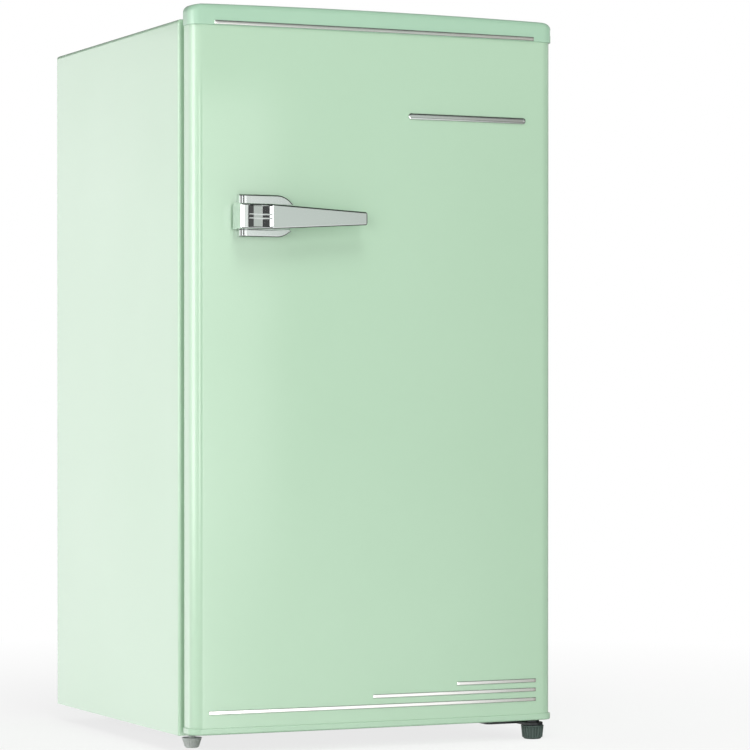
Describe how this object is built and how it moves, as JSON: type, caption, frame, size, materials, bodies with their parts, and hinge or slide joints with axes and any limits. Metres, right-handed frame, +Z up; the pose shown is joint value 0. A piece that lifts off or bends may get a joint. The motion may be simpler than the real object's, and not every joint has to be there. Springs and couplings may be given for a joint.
{
  "type": "mini fridge",
  "caption": "Small upright retro fridge with a thick rounded door, latch lever handle, bright trim strips, freezer box, glass shelves, crisper and rear condenser.",
  "frame": {"origin": "middle of the outline on the floor, under the feet", "axes": "+Z up; the door faces -Y; +X is the hinge side, to the right when facing the door"},
  "size_m": [0.45, 0.485, 0.83],
  "materials": {
    "mint_paint": "gloss",
    "mint_plastic": "gloss",
    "chrome": "polished",
    "white_plastic": "satin",
    "foam": "matte",
    "clear_plastic": "gloss",
    "shelf_glass": "gloss",
    "evaporator_aluminium": "satin",
    "galvanised_steel": "satin",
    "black_paint": "satin",
    "bare_steel": "satin",
    "copper_pipe": "satin",
    "gasket_rubber": "matte",
    "black_rubber": "matte",
    "pale_grey_plastic": "satin",
    "slate_plastic": "matte",
    "black_plastic": "satin",
    "lamp_glass": "gloss"
  },
  "bodies": {
    "cabinet": {"cabinet_wrap": "mint_paint", "front_rail": "mint_paint", "base_pan": "galvanised_steel", "bulkhead": "galvanised_steel", "rear_panel": "galvanised_steel", "cabinet_foam": "foam", "inner_liner": "white_plastic", "shelf_upper": "shelf_glass", "shelf_lower": "shelf_glass", "crisper_cover": "shelf_glass", "shelf_trims": "white_plastic", "evaporator_box": "evaporator_aluminium", "freezer_frame": "white_plastic", "thermostat_housing": "white_plastic", "thermostat_body": "galvanised_steel", "lamp_cover": "lamp_glass", "lamp_bulb": "lamp_glass", "compressor_base": "galvanised_steel", "rear_crossbar": "galvanised_steel", "compressor_shell": "black_paint", "compressor_grommets": "black_rubber", "compressor_bolts": "bare_steel", "relay_box": "black_plastic", "cord_gland": "black_rubber", "evaporation_tray": "black_plastic", "drain_tube": "white_plastic", "condenser_tube": "black_paint", "condenser_wires": "black_paint", "condenser_clips": "black_plastic", "filter_drier": "copper_pipe", "capillary_tube": "copper_pipe", "suction_line": "copper_pipe", "rear_feet": "black_plastic", "upper_hinge_bracket": "bare_steel", "lower_hinge_bracket": "black_paint", "hinge_pins": "bare_steel", "hinge_screws": "bare_steel", "hinge_cover": "mint_plastic"},
    "door": {"hinge_bushes": "white_plastic", "door_skin": "mint_paint", "door_top_cap": "mint_plastic", "door_bottom_cap": "mint_plastic", "door_foam": "foam", "door_liner": "white_plastic", "door_gasket": "gasket_rubber", "rack_upper": "clear_plastic", "rack_lower": "clear_plastic", "top_strip": "chrome", "bottom_stripes": "chrome", "badge_bar": "chrome", "handle_base": "chrome", "handle_pin": "bare_steel"},
    "handle_lever": {"handle_lever": "chrome"},
    "freezer_flap": {"freezer_flap": "white_plastic"},
    "drip_tray": {"drip_tray": "clear_plastic"},
    "crisper_drawer": {"crisper_drawer": "clear_plastic"},
    "thermostat_dial": {"thermostat_dial": "white_plastic"},
    "lamp_switch_button": {"lamp_switch_button": "white_plastic"},
    "foot_left": {"foot_left": "pale_grey_plastic"},
    "foot_right": {"foot_right": "slate_plastic"}
  },
  "joints": [
    {"name": "door_swing", "type": "hinge", "parent": "cabinet", "child": "door", "pos_m": [0.204, -0.1995, 0.415], "axis": [0, 0, 1], "range_deg": [0, 120]},
    {"name": "handle_swing", "type": "hinge", "parent": "door", "child": "handle_lever", "pos_m": [-0.163, -0.221, 0.594], "axis": [0, 0, -1], "range_deg": [0, 12], "stiffness_Nm_per_rad": 0.6, "springref_deg": -11.46},
    {"name": "freezer_flap_swing", "type": "hinge", "parent": "cabinet", "child": "freezer_flap", "pos_m": [0, -0.0605, 0.76], "axis": [-1, 0, 0], "range_deg": [0, 85]},
    {"name": "drip_tray_slide", "type": "slide", "parent": "cabinet", "child": "drip_tray", "axis": [0, -1, 0], "range_m": [0, 0.08]},
    {"name": "crisper_slide", "type": "slide", "parent": "cabinet", "child": "crisper_drawer", "axis": [0, -1, 0], "range_m": [0, 0.08]},
    {"name": "thermostat_turn", "type": "hinge", "parent": "cabinet", "child": "thermostat_dial", "pos_m": [0.15, -0.1135, 0.602], "axis": [-1, 0, 0], "range_deg": [0, 270]},
    {"name": "lamp_switch_travel", "type": "slide", "parent": "cabinet", "child": "lamp_switch_button", "axis": [0, -1, 0], "range_m": [0, 0.006]},
    {"name": "foot_left_height", "type": "slide", "parent": "cabinet", "child": "foot_left", "axis": [0, 0, -1], "range_m": [0, 0.008]},
    {"name": "foot_right_height", "type": "slide", "parent": "cabinet", "child": "foot_right", "axis": [0, 0, -1], "range_m": [0, 0.008]}
  ],
  "couplings": [
    {"joint": "lamp_switch_travel", "follows": "door_swing", "m_per_rad": 0.00286}
  ]
}
